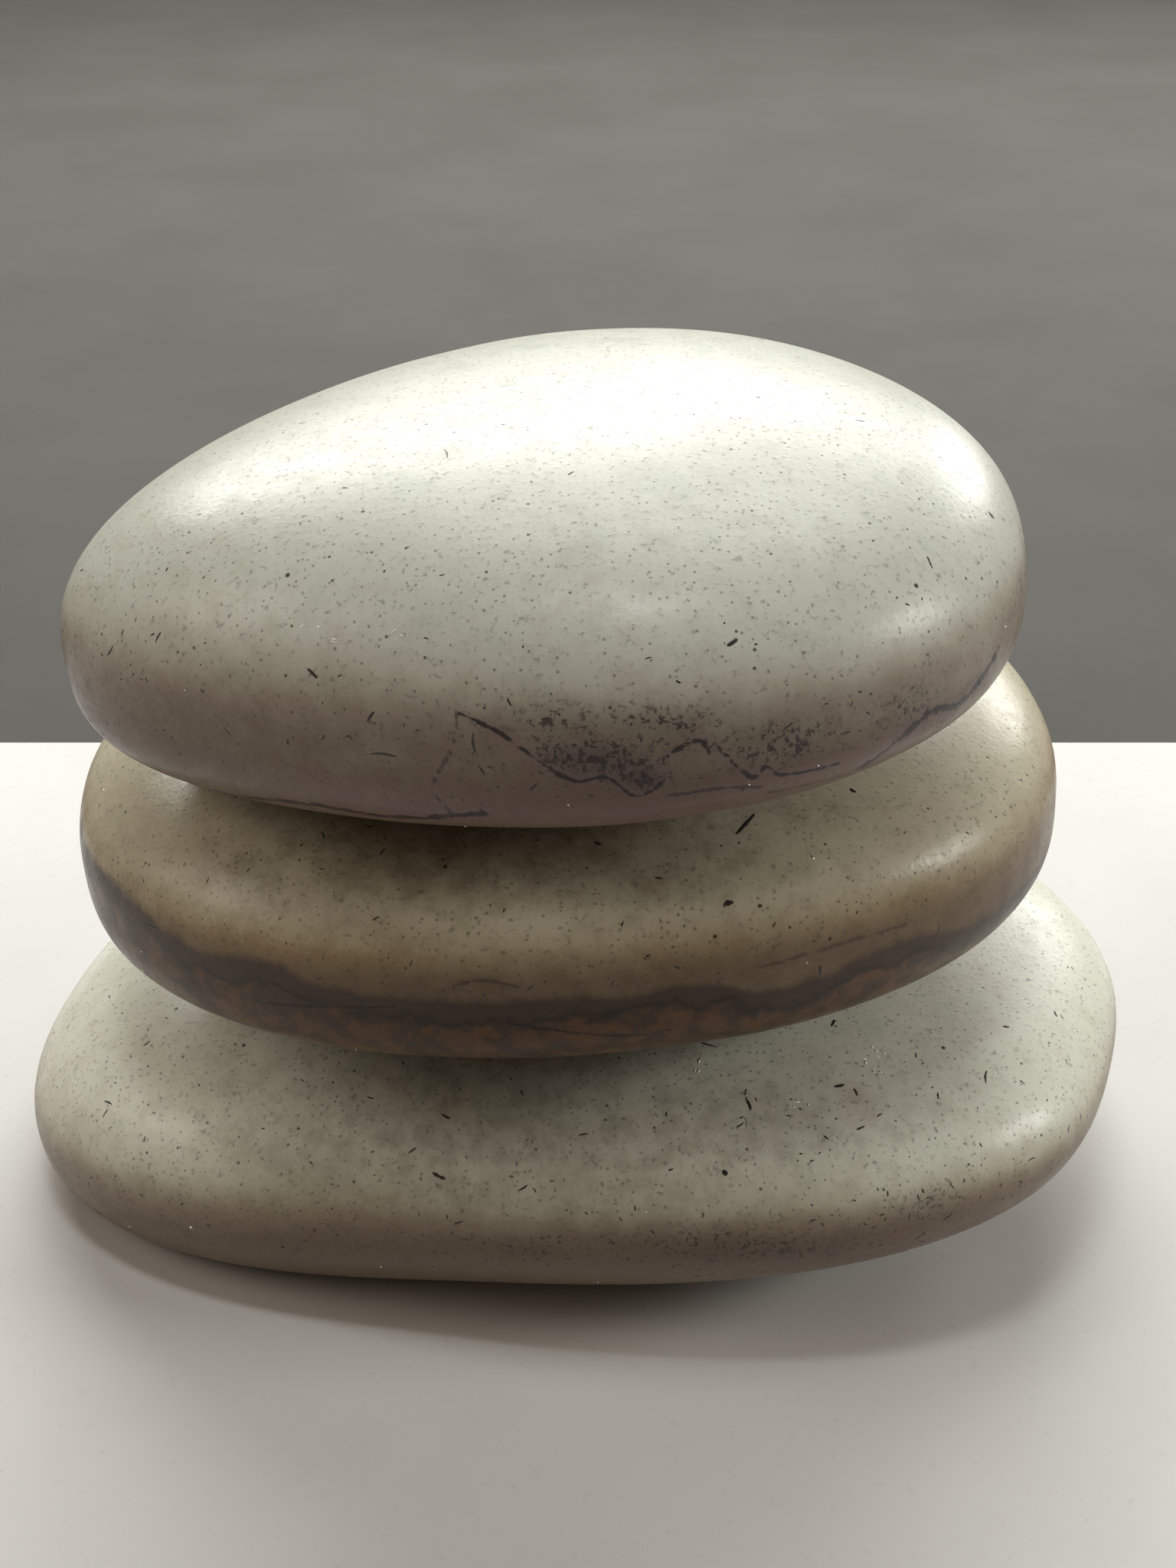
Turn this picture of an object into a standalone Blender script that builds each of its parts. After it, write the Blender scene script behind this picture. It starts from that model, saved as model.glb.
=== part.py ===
"""Three smooth massage stones, loose, stacked on their broad sides.

Each stone is one sphere of evenly spaced points that is pulled into a pebble:
superelliptic in plan and in section, wider at one end, and a little bent.
The bottom stone lies on a worn flat underside. The middle stone rests on its
crown. The top stone sits on a worn flat seat on the middle stone.
Lengths are metres and angles degrees. +X runs along the stack, +Z is up, and
the origin is on the flat underside of the bottom stone.
"""

import math
from dataclasses import dataclass

import bmesh
import bpy
import numpy as np
from mathutils import Vector
from mathutils.bvhtree import BVHTree

MM = 0.001

# Clearance between a stone and the one that it rests on.
RESTING_GAP = 0.3 * MM

# The worn seat between the middle and top stones rises towards +X by this angle.
SEAT_SLOPE = 4.5

# Bottom stone.
BOTTOM_LENGTH = 121.6 * MM
BOTTOM_WIDTH = 91.6 * MM
BOTTOM_THICKNESS = 38.4 * MM
BOTTOM_CROWN = -1.65 * MM
BOTTOM_PLAN_POWER = 2.68
BOTTOM_SECTION_POWER = 2.20
BOTTOM_WIDTH_TAPER = -0.166
BOTTOM_THICKNESS_TAPER = -0.17
BOTTOM_SAG = -2.1 * MM
BOTTOM_BOW = -1.85 * MM
BOTTOM_YAW = -18.3
BOTTOM_TILT = 6.9
BOTTOM_ROLL = -0.45
BOTTOM_SIDEWAYS = -0.3 * MM
BOTTOM_BACKWARD = 6.9 * MM
BOTTOM_FLAT_DEPTH = 8.6 * MM

# Middle stone.
MIDDLE_LENGTH = 103.1 * MM
MIDDLE_WIDTH = 85.6 * MM
MIDDLE_THICKNESS = 28.7 * MM
MIDDLE_CROWN = 0.0 * MM
MIDDLE_PLAN_POWER = 2.14
MIDDLE_SECTION_POWER = 3.01
MIDDLE_WIDTH_TAPER = 0.04
MIDDLE_THICKNESS_TAPER = 0.007
MIDDLE_SAG = -1.1 * MM
MIDDLE_BOW = -0.87 * MM
MIDDLE_YAW = 5.6
MIDDLE_TILT = 3.13
MIDDLE_ROLL = -0.6
MIDDLE_SIDEWAYS = -2.0 * MM
MIDDLE_BACKWARD = 1.0 * MM
MIDDLE_SEAT_DEPTH = 0.25 * MM

# Top stone.
TOP_LENGTH = 92.7 * MM
TOP_WIDTH = 77.8 * MM
TOP_THICKNESS = 31.5 * MM
TOP_CROWN = 2.4 * MM
TOP_PLAN_POWER = 1.90
TOP_SECTION_POWER = 2.74
TOP_WIDTH_TAPER = 0.27
TOP_THICKNESS_TAPER = -0.027
TOP_SAG = -1.3 * MM
TOP_BOW = -1.65 * MM
TOP_YAW = 5.5
TOP_TILT = 6.1
TOP_ROLL = -1.1
TOP_SIDEWAYS = -4.4 * MM
TOP_BACKWARD = -9.3 * MM
TOP_SEAT_DEPTH = 0.25 * MM

# Fineness of the sphere that every stone starts from: 5120 triangles.
SPHERE_SUBDIVISIONS = 5


@dataclass(frozen=True)
class Pebble:
    """One stone's shape, before it is set down.

    length, width and thickness are the three full sizes.
    crown raises the middle of the upper and lower skins together.
    plan_power and section_power are superellipse powers: 2 is round, more is squarer.
    width_taper and thickness_taper are the share gained at the +X end and lost at the -X end.
    sag and bow move both ends along Z and along Y.
    yaw, tilt and roll are degrees about Z, Y and X; a positive tilt lifts the +X end.
    """

    length: float
    width: float
    thickness: float
    crown: float
    plan_power: float
    section_power: float
    width_taper: float
    thickness_taper: float
    sag: float
    bow: float
    yaw: float
    tilt: float
    roll: float

    def turn(self) -> np.ndarray:
        """Rotation matrix: roll first, then tilt, then yaw."""
        yaw, tilt, roll = (math.radians(a) for a in (self.yaw, self.tilt, self.roll))
        about_z = np.array(
            [
                [math.cos(yaw), -math.sin(yaw), 0.0],
                [math.sin(yaw), math.cos(yaw), 0.0],
                [0.0, 0.0, 1.0],
            ]
        )
        about_y = np.array(
            [
                [math.cos(tilt), 0.0, -math.sin(tilt)],
                [0.0, 1.0, 0.0],
                [math.sin(tilt), 0.0, math.cos(tilt)],
            ]
        )
        about_x = np.array(
            [
                [1.0, 0.0, 0.0],
                [0.0, math.cos(roll), -math.sin(roll)],
                [0.0, math.sin(roll), math.cos(roll)],
            ]
        )
        return about_z @ about_y @ about_x

    def skin(self, directions: np.ndarray) -> np.ndarray:
        """Points of the pebble's skin along unit directions from its centre."""
        across, deep, up = np.abs(directions).T
        plan = across**self.plan_power + deep**self.plan_power
        section = plan ** (self.section_power / self.plan_power) + up**self.section_power
        x, y, z = (directions / section[:, None] ** (1.0 / self.section_power)).T
        long = 0.5 * self.length * x
        wide = 0.5 * self.width * y * (1.0 + self.width_taper * x) + self.bow * x * x
        high = 0.5 * self.thickness * z + self.crown * z * z
        high = high * (1.0 + self.thickness_taper * x) + self.sag * x * x
        return np.column_stack([long, wide, high]) @ self.turn().T


BOTTOM = Pebble(
    BOTTOM_LENGTH,
    BOTTOM_WIDTH,
    BOTTOM_THICKNESS,
    BOTTOM_CROWN,
    BOTTOM_PLAN_POWER,
    BOTTOM_SECTION_POWER,
    BOTTOM_WIDTH_TAPER,
    BOTTOM_THICKNESS_TAPER,
    BOTTOM_SAG,
    BOTTOM_BOW,
    BOTTOM_YAW,
    BOTTOM_TILT,
    BOTTOM_ROLL,
)
MIDDLE = Pebble(
    MIDDLE_LENGTH,
    MIDDLE_WIDTH,
    MIDDLE_THICKNESS,
    MIDDLE_CROWN,
    MIDDLE_PLAN_POWER,
    MIDDLE_SECTION_POWER,
    MIDDLE_WIDTH_TAPER,
    MIDDLE_THICKNESS_TAPER,
    MIDDLE_SAG,
    MIDDLE_BOW,
    MIDDLE_YAW,
    MIDDLE_TILT,
    MIDDLE_ROLL,
)
TOP = Pebble(
    TOP_LENGTH,
    TOP_WIDTH,
    TOP_THICKNESS,
    TOP_CROWN,
    TOP_PLAN_POWER,
    TOP_SECTION_POWER,
    TOP_WIDTH_TAPER,
    TOP_THICKNESS_TAPER,
    TOP_SAG,
    TOP_BOW,
    TOP_YAW,
    TOP_TILT,
    TOP_ROLL,
)


def clear_scene() -> None:
    for obj in list(bpy.data.objects):
        bpy.data.objects.remove(obj)


def new_collection(name: str) -> bpy.types.Collection:
    collection = bpy.data.collections.new(name)
    bpy.context.scene.collection.children.link(collection)
    return collection


def pebble_body(pebble: Pebble) -> bmesh.types.BMesh:
    """A sphere of even triangles, pulled into the pebble about its own centre."""
    body = bmesh.new()
    bmesh.ops.create_icosphere(body, subdivisions=SPHERE_SUBDIVISIONS, radius=1.0)
    directions = np.array([vertex.co.normalized() for vertex in body.verts])
    for vertex, point in zip(body.verts, pebble.skin(directions)):
        vertex.co = Vector(point)
    return body


def cut_flat(body: bmesh.types.BMesh, facing: Vector, depth: float) -> float:
    """Wears the body flat where it reaches farthest along a facing direction.

    The cut is this deep, and the hole that it leaves is closed with flat
    triangles around one middle point. The result is the flat's distance from
    the centre, along facing.
    """
    level = max(vertex.co.dot(facing) for vertex in body.verts) - depth
    bmesh.ops.bisect_plane(
        body,
        geom=body.verts[:] + body.edges[:] + body.faces[:],
        dist=1e-7,
        plane_co=facing * level,
        plane_no=facing,
        clear_outer=True,
    )
    rim = [edge for edge in body.edges if edge.is_boundary]
    lid = bmesh.ops.contextual_create(body, geom=rim)["faces"]
    bmesh.ops.poke(body, faces=lid)
    bmesh.ops.recalc_face_normals(body, faces=body.faces[:])
    return level


def move(body: bmesh.types.BMesh, sideways: float, backward: float, up: float) -> None:
    """Moves a body along X, Y and Z."""
    bmesh.ops.translate(body, verts=body.verts[:], vec=(sideways, backward, up))


def rest_on(upper: bmesh.types.BMesh, lower: bmesh.types.BMesh) -> float:
    """Rise that leaves the resting gap between an upper body and the one under it.

    The gap is measured straight down from the upper points and straight up
    from the lower ones, so that a point over a face is found from both sides.
    """
    far = 1.0
    upper_tree = BVHTree.FromBMesh(upper)
    lower_tree = BVHTree.FromBMesh(lower)
    gaps = []
    for vertex in upper.verts:
        above = vertex.co + Vector((0.0, 0.0, far))
        hit = lower_tree.ray_cast(above, Vector((0.0, 0.0, -1.0)))[0]
        if hit is not None:
            gaps.append(vertex.co.z - hit.z)
    for vertex in lower.verts:
        under = vertex.co - Vector((0.0, 0.0, far))
        hit = upper_tree.ray_cast(under, Vector((0.0, 0.0, 1.0)))[0]
        if hit is not None:
            gaps.append(hit.z - vertex.co.z)
    return RESTING_GAP - min(gaps)


def stone_material(name: str, colour: tuple[float, float, float]) -> bpy.types.Material:
    material = bpy.data.materials.new(name)
    material.use_nodes = True
    shader = material.node_tree.nodes["Principled BSDF"]
    shader.inputs["Base Color"].default_value = (*colour, 1.0)
    shader.inputs["Roughness"].default_value = 0.42
    material.diffuse_color = (*colour, 1.0)
    return material


def stone_object(
    name: str,
    body: bmesh.types.BMesh,
    centre: Vector,
    colour: tuple[float, float, float],
    collection: bpy.types.Collection,
) -> None:
    """Turns a body into a named object whose origin is the stone's own centre."""
    bmesh.ops.translate(body, verts=body.verts[:], vec=-centre)
    mesh = bpy.data.meshes.new(name)
    body.to_mesh(mesh)
    body.free()
    for polygon in mesh.polygons:
        polygon.use_smooth = True
    mesh.materials.append(stone_material(name + "_stone", colour))
    obj = bpy.data.objects.new(name, mesh)
    obj.location = centre
    collection.objects.link(obj)


def build() -> None:
    clear_scene()
    stack = new_collection("massage_stone_stack")

    down = Vector((0.0, 0.0, -1.0))
    slope = math.radians(SEAT_SLOPE)
    seat_up = Vector((-math.sin(slope), 0.0, math.cos(slope)))

    bottom = pebble_body(BOTTOM)
    bottom_rise = cut_flat(bottom, down, BOTTOM_FLAT_DEPTH)
    move(bottom, BOTTOM_SIDEWAYS, BOTTOM_BACKWARD, bottom_rise)

    middle = pebble_body(MIDDLE)
    cut_flat(middle, seat_up, MIDDLE_SEAT_DEPTH)
    move(middle, MIDDLE_SIDEWAYS, MIDDLE_BACKWARD, 0.0)
    middle_rise = rest_on(middle, bottom)
    move(middle, 0.0, 0.0, middle_rise)

    top = pebble_body(TOP)
    cut_flat(top, -seat_up, TOP_SEAT_DEPTH)
    move(top, TOP_SIDEWAYS, TOP_BACKWARD, 0.0)
    top_rise = rest_on(top, middle)
    move(top, 0.0, 0.0, top_rise)

    stone_object("bottom_stone", bottom, Vector((0.0, 0.0, 0.0)), (0.46, 0.45, 0.36), stack)
    stone_object(
        "middle_stone",
        middle,
        Vector((MIDDLE_SIDEWAYS, MIDDLE_BACKWARD, middle_rise)),
        (0.42, 0.36, 0.25),
        stack,
    )
    stone_object(
        "top_stone",
        top,
        Vector((TOP_SIDEWAYS, TOP_BACKWARD, top_rise)),
        (0.50, 0.49, 0.41),
        stack,
    )


build()
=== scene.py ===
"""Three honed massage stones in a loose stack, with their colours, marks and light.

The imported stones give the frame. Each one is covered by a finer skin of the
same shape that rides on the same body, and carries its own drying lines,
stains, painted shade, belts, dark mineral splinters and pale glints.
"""

import logging
import math
from dataclasses import dataclass, field
from enum import Enum

import bpy
import numpy as np
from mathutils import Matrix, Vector


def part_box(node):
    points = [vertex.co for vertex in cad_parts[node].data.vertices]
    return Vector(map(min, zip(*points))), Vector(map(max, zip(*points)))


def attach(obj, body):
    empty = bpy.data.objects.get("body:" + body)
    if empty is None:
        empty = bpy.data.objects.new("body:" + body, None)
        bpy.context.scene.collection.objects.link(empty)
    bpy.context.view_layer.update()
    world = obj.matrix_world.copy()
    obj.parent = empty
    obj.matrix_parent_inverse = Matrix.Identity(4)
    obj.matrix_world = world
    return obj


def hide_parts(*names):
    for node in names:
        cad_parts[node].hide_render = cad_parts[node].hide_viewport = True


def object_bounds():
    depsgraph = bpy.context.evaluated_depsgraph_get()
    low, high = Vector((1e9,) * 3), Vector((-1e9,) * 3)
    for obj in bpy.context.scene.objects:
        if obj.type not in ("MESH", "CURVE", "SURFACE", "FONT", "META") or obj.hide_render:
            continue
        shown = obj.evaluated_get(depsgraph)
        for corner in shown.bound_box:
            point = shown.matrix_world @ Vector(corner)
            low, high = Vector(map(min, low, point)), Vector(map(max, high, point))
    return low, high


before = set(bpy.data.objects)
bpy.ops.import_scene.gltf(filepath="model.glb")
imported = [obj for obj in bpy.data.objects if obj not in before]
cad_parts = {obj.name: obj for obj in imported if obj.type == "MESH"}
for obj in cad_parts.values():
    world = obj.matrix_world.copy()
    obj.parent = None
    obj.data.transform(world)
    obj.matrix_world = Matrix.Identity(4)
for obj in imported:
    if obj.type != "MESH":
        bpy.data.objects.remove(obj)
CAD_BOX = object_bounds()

LOG = logging.getLogger("stones")
# One millimetre in metres.
MM = 0.001
Socket = bpy.types.NodeSocket
Colour = tuple[float, float, float]
Place = tuple[float, float, float]
Spot = tuple[float, float]
# Millimetres, farther than any mark reaches.
FAR_AWAY = 50.0
# Radians, about a full turn, from which the phase of a wave is drawn.
PHASES = 6.3


class Body(Enum):
    """The body of the frame that a stone belongs to."""

    BOTTOM = "bottom"
    MIDDLE = "middle"
    TOP = "top"


# --------------------------------------------------------------------------
# Shapes
# --------------------------------------------------------------------------


@dataclass(frozen=True)
class PebbleForm:
    """A rubbed pebble: superelliptic, wider at one end and a little bent.

    Sizes are millimetres and angles are degrees. The tapers are the share
    gained at the +X end and lost at the -X end.
    """

    length: float
    width: float
    thickness: float
    crown: float
    plan_power: float
    section_power: float
    width_taper: float
    thickness_taper: float
    sag: float
    bow: float
    yaw: float
    tilt: float
    roll: float

    def turn(self) -> np.ndarray:
        """Works out how the pebble is turned: roll first, then tilt, then yaw.

        Returns:
            The rotation matrix.
        """
        yaw, tilt, roll = (math.radians(a) for a in (self.yaw, self.tilt, self.roll))
        cz, sz, cy, sy = math.cos(yaw), math.sin(yaw), math.cos(tilt), math.sin(tilt)
        cx, sx = math.cos(roll), math.sin(roll)
        about_z = np.array([[cz, -sz, 0.0], [sz, cz, 0.0], [0.0, 0.0, 1.0]])
        about_y = np.array([[cy, 0.0, -sy], [0.0, 1.0, 0.0], [sy, 0.0, cy]])
        about_x = np.array([[1.0, 0.0, 0.0], [0.0, cx, -sx], [0.0, sx, cx]])
        return about_z @ about_y @ about_x

    def skin(self, directions: np.ndarray) -> np.ndarray:
        """Pulls unit directions out to the pebble's skin, about its centre.

        In words: the direction is divided by the superellipse norm, stretched
        to half the three sizes, tapered along X, bent by the square of X, and
        then turned.

        Args:
            directions: Unit vectors, shaped (..., 3).

        Returns:
            Points in millimetres, shaped like the directions.
        """
        across, deep, up = np.moveaxis(np.abs(directions), -1, 0)
        plan = across**self.plan_power + deep**self.plan_power
        norm = plan ** (self.section_power / self.plan_power) + up**self.section_power
        unit = directions / norm[..., None] ** (1.0 / self.section_power)
        x, y, z = np.moveaxis(unit, -1, 0)
        long = 0.5 * self.length * x
        wide = 0.5 * self.width * y * (1.0 + self.width_taper * x) + self.bow * x * x
        high = 0.5 * self.thickness * z + self.crown * z * z
        high = high * (1.0 + self.thickness_taper * x) + self.sag * x * x
        return np.stack([long, wide, high], axis=-1) @ self.turn().T


@dataclass(frozen=True)
class WornFlat:
    """A flat that wear has left on a stone, with an eased rim.

    depth is how deep the wear has cut where the stone reached farthest along
    facing, and ease is the radius over which the skin turns into the flat.
    Both are millimetres.
    """

    facing: Place
    depth: float
    ease: float

    def wear(self, points: np.ndarray, reach: float) -> np.ndarray:
        """Presses points that stand beyond the flat back onto it.

        In words: the height over the flat is replaced by a smooth minimum of
        that height and zero.

        Args:
            points: Points about the stone's centre, shaped (..., 3).
            reach: How far the unworn stone reaches along facing.

        Returns:
            The worn points.
        """
        over = points @ np.array(self.facing) - (reach - self.depth)
        kept = 0.5 * (over - np.sqrt(over * over + self.ease * self.ease))
        return points + (kept - over)[..., None] * self.facing


@dataclass(frozen=True)
class Ripple:
    """Faint unevenness that hand rubbing leaves: a few long crossed waves.

    height is the usual height of the unevenness, and lengths are the shortest
    and the longest wave, all in millimetres. evening is about the square root
    of the number of waves.
    """

    height: float = 0.05
    seed: int = 1
    waves: int = 7
    lengths: Spot = (14.0, 34.0)
    evening: float = 2.6

    def lift(self, points: np.ndarray) -> np.ndarray:
        """Gives how far each point stands proud, in millimetres.

        In words: the sum of sine waves whose directions, lengths and phases
        are drawn from the seed, divided by the evening.

        Args:
            points: Points in millimetres, shaped (..., 3).

        Returns:
            Heights, one for each point.
        """
        draw = np.random.default_rng(self.seed)
        total = np.zeros(points.shape[:-1])
        for _ in range(self.waves):
            way = draw.normal(size=3)
            way /= np.linalg.norm(way)
            wave = draw.uniform(*self.lengths)
            phase = draw.uniform(0.0, PHASES)
            total += np.sin(2.0 * np.pi * (points @ way) / wave + phase)
        return self.height * total / self.evening


# --------------------------------------------------------------------------
# Marks on the skin, each one a number for every point of the mesh
# --------------------------------------------------------------------------


@dataclass(frozen=True)
class StoneBox:
    """A packed stone's box, in millimetres. Places on the front are shares of it."""

    low: Place
    high: Place

    @classmethod
    def of(cls, node: str) -> "StoneBox":
        """Reads a node's box from the frame.

        Args:
            node: The node's name.

        Returns:
            The box at rest.
        """
        low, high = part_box(node)
        return cls(tuple(side / MM for side in low), tuple(side / MM for side in high))

    def spots(self, shares: np.ndarray) -> np.ndarray:
        """Turns shares of the box into places.

        Args:
            shares: Rows of (across, up), from 0 at the left or foot to 1.

        Returns:
            Rows of (x, z) in millimetres.
        """
        low, high = np.array(self.low)[[0, 2]], np.array(self.high)[[0, 2]]
        return low + shares * (high - low)


@dataclass(frozen=True)
class WaterLine:
    """A thin dark line where mineral water dried: an open curve on the skin.

    places are (across, up) shares of the stone's box, seen from the front.
    breadth is how many times the usual width the line is.
    """

    places: tuple[Spot, ...]
    strength: float = 1.0
    breadth: float = 1.0

    def curve(self, fine: int = 6) -> np.ndarray:
        """Draws a smooth curve through the places.

        In words: each span is the cubic whose slope at a place is half the
        step from the place before it to the place after it. The end places
        are counted twice.

        Args:
            fine: Points in each span.

        Returns:
            Shares along the curve, shaped (m, 2).
        """
        knots = np.array((self.places[0], *self.places, self.places[-1]))
        spans = len(knots) - 3
        before, start, end, after = (knots[first : first + spans, None] for first in range(4))
        t = (np.arange(fine) / fine)[None, :, None]
        slope_in, slope_out = 0.5 * (end - before), 0.5 * (after - start)
        rise = (3.0 * (end - start) - 2.0 * slope_in - slope_out) * t**2
        turn = (2.0 * (start - end) + slope_in + slope_out) * t**3
        drawn = start + slope_in * t + rise + turn
        return np.concatenate([drawn.reshape(-1, 2), knots[-1:]])

    def offsets(self, path: np.ndarray, points: np.ndarray) -> np.ndarray:
        """Measures how far points lie from the line, less where the line is broad.

        In words: each point's distance to the nearest straight piece of the
        line, divided by the line's breadth.

        Args:
            path: The curve on the skin in millimetres, shaped (m, 3).
            points: Points of the skin in millimetres, shaped (n, 3).

        Returns:
            One distance for each point.
        """
        near = np.full(len(points), FAR_AWAY)
        for first, way in zip(path[:-1], np.diff(path, axis=0)):
            gap = points - first
            share = np.clip(gap @ way / (way @ way), 0.0, 1.0)
            near = np.minimum(near, np.linalg.norm(gap - share[:, None] * way, axis=1))
        return near / self.breadth


@dataclass(frozen=True)
class Fleck:
    """One large splinter: where it lies, its heading, its length and width.

    across and up are shares of the stone's box, seen from the front. The
    heading is degrees from +X, turning up or back over the skin. The length
    and the width are millimetres.
    """

    across: float
    up: float
    heading: float
    length: float
    width: float


@dataclass(frozen=True)
class Swarm:
    """A loose group of small splinters or glints around a place on the front.

    across and up are shares of the stone's box, and the reaches along X and Z
    are millimetres.
    """

    across: float
    up: float
    reach: Spot
    count: int

    def scatter(self, box: StoneBox, draw: np.random.Generator) -> np.ndarray:
        """Draws the group's places from a bell curve.

        Args:
            box: The stone's box.
            draw: The source of chance.

        Returns:
            Rows of (x, z) in millimetres.
        """
        middle = box.spots(np.array([[self.across, self.up]]))
        return middle + draw.normal(size=(self.count, 2)) * self.reach


@dataclass(frozen=True)
class Bloom:
    """A soft patch around a place on the front.

    across and up are shares of the stone's box, and the reaches along X, Y
    and Z are millimetres.
    """

    across: float
    up: float
    reach: Place
    strength: float = 1.0

    def amount(self, points: np.ndarray, middle: np.ndarray) -> np.ndarray:
        """Gives the patch's strength: a bell curve of the scaled distance.

        Args:
            points: Points of the skin in millimetres, shaped (n, 3).
            middle: The patch's middle on the skin.

        Returns:
            One strength for each point.
        """
        scaled = (points - middle) / np.array(self.reach)
        return self.strength * np.exp(-(scaled * scaled).sum(-1))


@dataclass(frozen=True)
class Belt:
    """A band round the stone whose edge rises and falls with the bearing.

    stations are (bearing in degrees about the stone's centre, edge height as
    a share of the stone's box), in rising order of bearing from -180 to 180.
    """

    stations: tuple[Spot, ...]

    def depth(self, points: np.ndarray, centre: np.ndarray, box: StoneBox) -> np.ndarray:
        """Gives how far each point lies below the belt's edge, in millimetres.

        In words: the edge height is a cosine-eased walk from one station to
        the next, closed round the stone, less the point's height.

        Args:
            points: Points of the skin in millimetres, shaped (n, 3).
            centre: The stone's centre.
            box: The stone's box.

        Returns:
            Depths below the edge, negative above it.
        """
        bearing = np.degrees(np.arctan2(points[:, 1] - centre[1], points[:, 0] - centre[0]))
        at, height = np.array(self.stations).T
        at = np.concatenate([[at[-1] - 360.0], at, [at[0] + 360.0]])
        height = np.concatenate([[height[-1]], height, [height[0]]])
        height = box.low[2] + height * (box.high[2] - box.low[2])
        left = np.clip(np.searchsorted(at, bearing, side="right") - 1, 0, len(at) - 2)
        share = (bearing - at[left]) / (at[left + 1] - at[left])
        eased = 0.5 - 0.5 * np.cos(np.pi * share)
        edge = height[left] + eased * (height[left + 1] - height[left])
        return edge - points[:, 2]


# --------------------------------------------------------------------------
# Node helpers
# --------------------------------------------------------------------------


class NodeBench:
    """Lays out a material's nodes and joins them."""

    def __init__(self, name: str) -> None:
        """Starts a material with one Principled BSDF.

        Args:
            name: The material's name.
        """
        self.material = bpy.data.materials.new(name)
        self.material.use_nodes = True
        self.tree = self.material.node_tree
        self.shader = self.tree.nodes["Principled BSDF"]
        self.coords = self.tree.nodes.new("ShaderNodeTexCoord").outputs["Object"]

    def _feed(self, socket: Socket, value: object) -> None:
        """Joins a socket to another one, or sets it to a plain value.

        Args:
            socket: The input to fill.
            value: A socket, a number, or a colour of three parts.
        """
        if isinstance(value, bpy.types.NodeSocket):
            self.tree.links.new(value, socket)
        elif isinstance(value, tuple) and len(value) == 3 and socket.type == "RGBA":
            socket.default_value = (*value, 1.0)
        else:
            socket.default_value = value

    def mark(self, name: str) -> Socket:
        """Reads one of the mesh's own numbers.

        Args:
            name: The mark's name.

        Returns:
            The number's socket.
        """
        node = self.tree.nodes.new("ShaderNodeAttribute")
        node.attribute_name = name
        return node.outputs["Fac"]

    def sum(self, kind: str, first: object, second: object = 0.0, clamp: bool = False) -> Socket:
        """Works out one sum.

        Args:
            kind: The Math node's operation, such as MULTIPLY.
            first: A socket or number.
            second: A socket or number.
            clamp: Whether the result is held between 0 and 1.

        Returns:
            The result's socket.
        """
        node = self.tree.nodes.new("ShaderNodeMath")
        node.operation = kind
        node.use_clamp = clamp
        self._feed(node.inputs[0], first)
        self._feed(node.inputs[1], second)
        return node.outputs[0]

    def span(
        self, value: object, low: float, high: float, start: float = 0.0, end: float = 1.0
    ) -> Socket:
        """Eases a value from one span to another, held at both ends.

        Args:
            value: The socket to read.
            low: Input that gives start.
            high: Input that gives end.
            start: Output at low.
            end: Output at high.

        Returns:
            The eased value's socket.
        """
        node = self.tree.nodes.new("ShaderNodeMapRange")
        node.interpolation_type = "SMOOTHSTEP"
        for place, item in enumerate((value, low, high, start, end)):
            self._feed(node.inputs[place], item)
        return node.outputs[0]

    def cloud(self, size: float, detail: float, rough: float, shift: float = 0.0) -> Socket:
        """Draws soft noise.

        Args:
            size: Width of one cloud in millimetres.
            detail: Octaves of finer noise.
            rough: Strength of each finer octave.
            shift: Distance that the pattern is moved by, in metres.

        Returns:
            The noise's socket, about 0.5 on average.
        """
        where = self.coords
        if shift:
            moved = self.tree.nodes.new("ShaderNodeMapping")
            moved.inputs["Location"].default_value = (shift, 2.0 * shift, -shift)
            self.tree.links.new(self.coords, moved.inputs["Vector"])
            where = moved.outputs[0]
        node = self.tree.nodes.new("ShaderNodeTexNoise")
        node.inputs["Scale"].default_value = 1.0 / (size * MM)
        node.inputs["Detail"].default_value = detail
        node.inputs["Roughness"].default_value = rough
        self.tree.links.new(where, node.inputs["Vector"])
        return node.outputs["Fac"]

    def pepper(self, spacing: float, radius: float, share: float) -> Socket:
        """Scatters small round specks.

        Args:
            spacing: Mean distance between cells in millimetres.
            radius: Radius of a speck as a share of the spacing.
            share: Share of the cells that hold a speck.

        Returns:
            A socket that is 1 in a speck and 0 outside, with a soft rim.
        """
        node = self.tree.nodes.new("ShaderNodeTexVoronoi")
        node.inputs["Scale"].default_value = 1.0 / (spacing * MM)
        self.tree.links.new(self.coords, node.inputs["Vector"])
        split = self.tree.nodes.new("ShaderNodeSeparateColor")
        self.tree.links.new(node.outputs["Color"], split.inputs[0])
        inside = self.span(node.outputs["Distance"], radius, 0.55 * radius)
        chosen = self.sum("LESS_THAN", split.outputs[0], share)
        return self.sum("MULTIPLY", inside, chosen)

    def blend(self, share: object, under: object, over: object, kind: str = "MIX") -> Socket:
        """Lays one colour over another.

        Args:
            share: How much of the upper colour shows.
            under: The lower colour.
            over: The upper colour.
            kind: The blend type, such as MULTIPLY.

        Returns:
            The mixed colour's socket.
        """
        node = self.tree.nodes.new("ShaderNodeMix")
        node.data_type = "RGBA"
        node.blend_type = kind
        node.clamp_factor = True
        self._feed(node.inputs[0], share)
        self._feed(node.inputs[6], under)
        self._feed(node.inputs[7], over)
        return node.outputs[2]

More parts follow.
